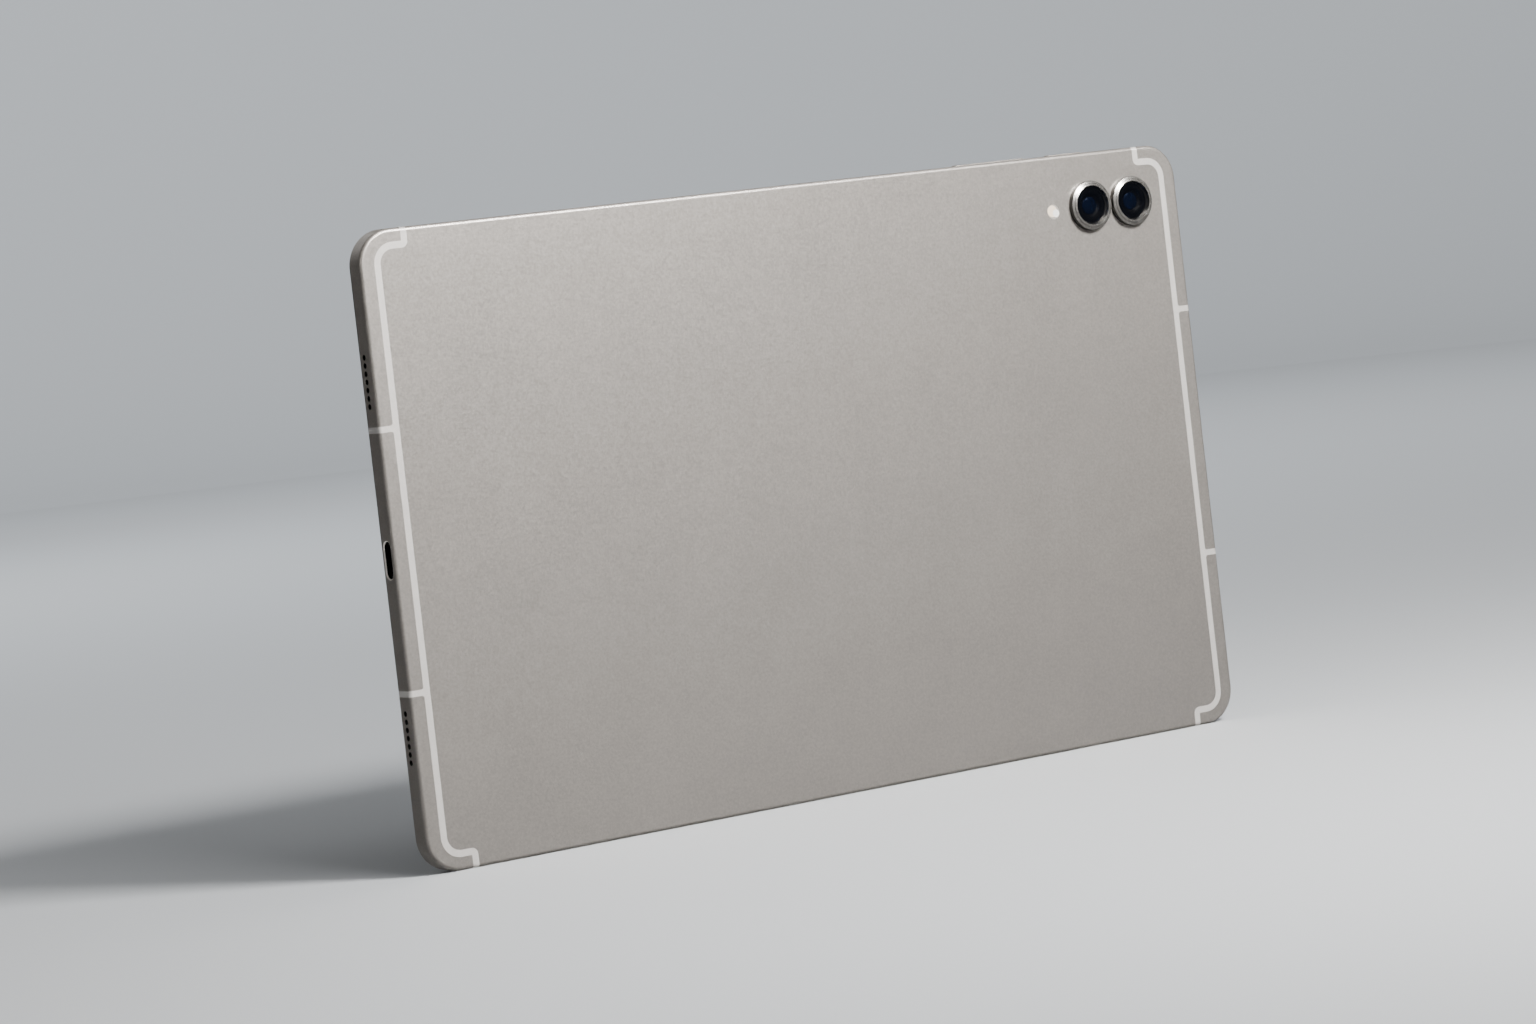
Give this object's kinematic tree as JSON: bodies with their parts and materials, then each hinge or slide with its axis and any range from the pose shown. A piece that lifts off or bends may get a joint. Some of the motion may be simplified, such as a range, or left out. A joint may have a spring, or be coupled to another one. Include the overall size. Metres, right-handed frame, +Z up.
{
  "type": "tablet computer",
  "caption": "Thin metal-backed tablet computer with a dual rear camera, flash, side speakers, USB-C port, working power and volume keys and a pull-out card tray.",
  "frame": {"origin": "middle of the footprint of the tablet as it stands on its lower long edge, at the height of that edge; half-way between the front of the cover glass and the tops of the camera rings", "axes": "+Z up across the short side, +X along the long side to the right as seen from behind, -Y out of the rear cover and +Y out of the screen"},
  "size_m": [0.264, 0.0082, 0.1653],
  "materials": {
    "body_aluminium": "bead-blasted, warm grey anodised",
    "band_plastic": "moulded, blasted flush with the metal",
    "frame_magnesium": "cast, dull",
    "screw_steel": "zinc-plated",
    "cover_glass": "polished",
    "bezel_ink": "printed black",
    "clear_adhesive": "clear sheet",
    "display_panel": "unlit",
    "dark_film": "film",
    "spring_steel": "rolled",
    "black_foam": "foam tape",
    "flex_film": "amber film over copper",
    "battery_pouch": "wrapped laminate pouch",
    "board_laminate": "solder mask",
    "tinned_steel": "tinned",
    "chip_resin": "moulded resin",
    "graphite": "graphite foil",
    "port_steel": "drawn, nickel-plated",
    "port_plastic": "moulded",
    "mesh_steel": "fine black mesh",
    "ring_steel": "polished",
    "lens_glass": "polished, coated",
    "camera_black": "anodised black",
    "flash_lens": "frosted",
    "flash_led": "phosphor",
    "key_aluminium": "bead-blasted, warm grey anodised",
    "reader_plastic": "moulded",
    "contact_gold": "gold-plated",
    "magnet_nickel": "nickel-plated",
    "speaker_plastic": "moulded"
  },
  "bodies": {
    "tablet": {"antenna_band_left": "band_plastic", "antenna_band_right": "band_plastic", "antenna_segment_left_lower": "body_aluminium", "antenna_segment_left_middle": "body_aluminium", "antenna_segment_left_upper": "body_aluminium", "antenna_segment_right_lower": "body_aluminium", "antenna_segment_right_middle": "body_aluminium", "antenna_segment_right_upper": "body_aluminium", "battery_cable": "flex_film", "battery_cell_left": "battery_pouch", "battery_cell_right": "battery_pouch", "battery_protection_board": "board_laminate", "bezel_mask": "bezel_ink", "camera_glass_inner": "lens_glass", "camera_glass_outer": "lens_glass", "camera_module_inner": "camera_black", "camera_module_outer": "camera_black", "camera_ring_inner": "ring_steel", "camera_ring_outer": "ring_steel", "card_reader": "reader_plastic", "contact_insulator": "port_plastic", "cover_glass": "cover_glass", "cover_magnets": "magnet_nickel", "display_cable": "flex_film", "display_gasket": "black_foam", "display_panel": "display_panel", "display_support_plate": "spring_steel", "flash_led": "flash_led", "flash_lens": "flash_lens", "frame_screws": "screw_steel", "front_camera": "camera_black", "graphite_sheet": "graphite", "key_bracket": "spring_steel", "key_switches": "flex_film", "keyboard_contacts": "contact_gold", "main_board": "board_laminate", "microphones": "tinned_steel", "mid_frame": "frame_magnesium", "optical_adhesive": "clear_adhesive", "port_board": "board_laminate", "port_cable": "flex_film", "processor_package": "chip_resin", "processor_shield_can": "tinned_steel", "radio_shield_can": "tinned_steel", "rear_cover": "body_aluminium", "speaker_left_lower": "speaker_plastic", "speaker_left_upper": "speaker_plastic", "speaker_meshes": "mesh_steel", "speaker_right_lower": "speaker_plastic", "speaker_right_upper": "speaker_plastic", "storage_package": "chip_resin", "stylus_digitiser": "dark_film", "usb_receptacle_shell": "port_steel", "usb_receptacle_tongue": "port_plastic"},
    "power_key": {"power_key": "key_aluminium"},
    "volume_rocker": {"volume_rocker": "key_aluminium"},
    "card_tray": {"card_tray": "key_aluminium"},
    "eject_rod": {"eject_rod": "screw_steel"},
    "eject_lever": {"eject_lever": "spring_steel"}
  },
  "joints": [
    {"name": "power_key_press", "type": "slide", "parent": "tablet", "child": "power_key", "axis": [0, 0, -1], "range_m": [0, 0.0003], "stiffness_N_per_m": 800, "springref_m": -0.0008},
    {"name": "volume_rocker_tilt", "type": "hinge", "parent": "tablet", "child": "volume_rocker", "pos_m": [0.069, 0.00065, 0.1621], "axis": [0, 1, 0], "range_deg": [-0.8, 0.8], "stiffness_Nm_per_rad": 1},
    {"name": "card_tray_slide", "type": "slide", "parent": "tablet", "child": "card_tray", "axis": [0, 0, 1], "range_m": [0, 0.012]},
    {"name": "eject_rod_push", "type": "slide", "parent": "tablet", "child": "eject_rod", "axis": [0, 0, -1], "range_m": [0, 0.0012]},
    {"name": "eject_lever_turn", "type": "hinge", "parent": "tablet", "child": "eject_lever", "pos_m": [0.0445, 0.00065, 0.15], "axis": [0, 1, 0], "range_deg": [0, 20]}
  ],
  "couplings": [
    {"joint": "eject_lever_turn", "follows": "eject_rod_push", "rad_per_m": 285}
  ]
}
